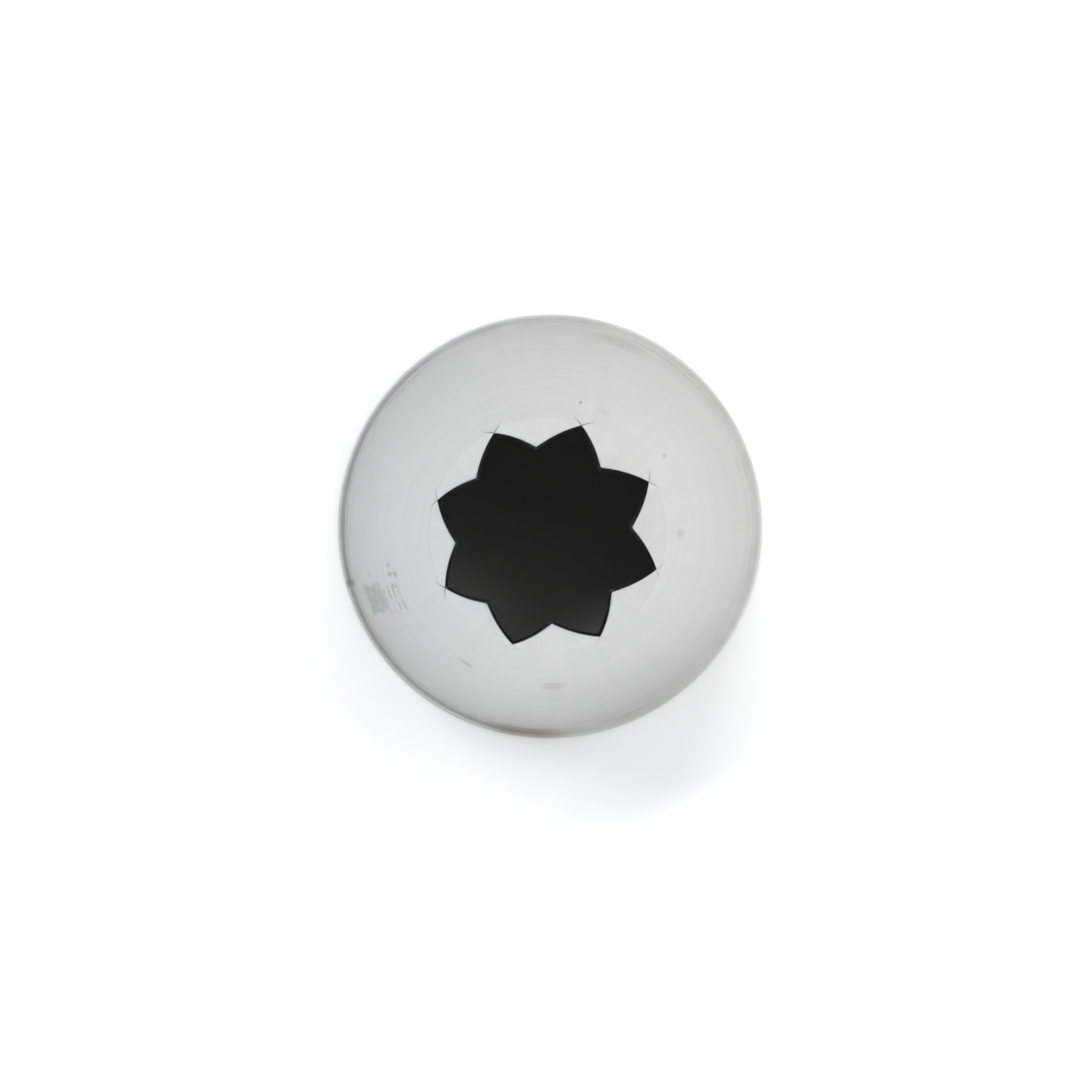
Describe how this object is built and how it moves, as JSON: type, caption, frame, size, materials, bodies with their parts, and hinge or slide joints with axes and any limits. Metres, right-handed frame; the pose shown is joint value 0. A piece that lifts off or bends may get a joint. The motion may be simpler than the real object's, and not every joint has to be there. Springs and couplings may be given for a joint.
{
  "type": "piping nozzle",
  "caption": "Seamless stainless steel cone with a rolled rim at its wide end and an open star of inward-pressed teeth at its narrow end, for piping cream or icing.",
  "frame": {"origin": "on the nozzle's axis, in the plane that the rolled rim stands on", "axes": "+Z along the axis from the wide rim to the star; +X through the middle of one tooth; +Y a quarter turn on, through another tooth"},
  "size_m": [0.034, 0.034, 0.05],
  "materials": {
    "satin_steel": "satin pressed stainless steel, with fine draw marks, light handling scuffs and cleaner cut edges"
  },
  "bodies": {
    "root": {"star_nozzle": "satin_steel"}
  },
  "joints": []
}
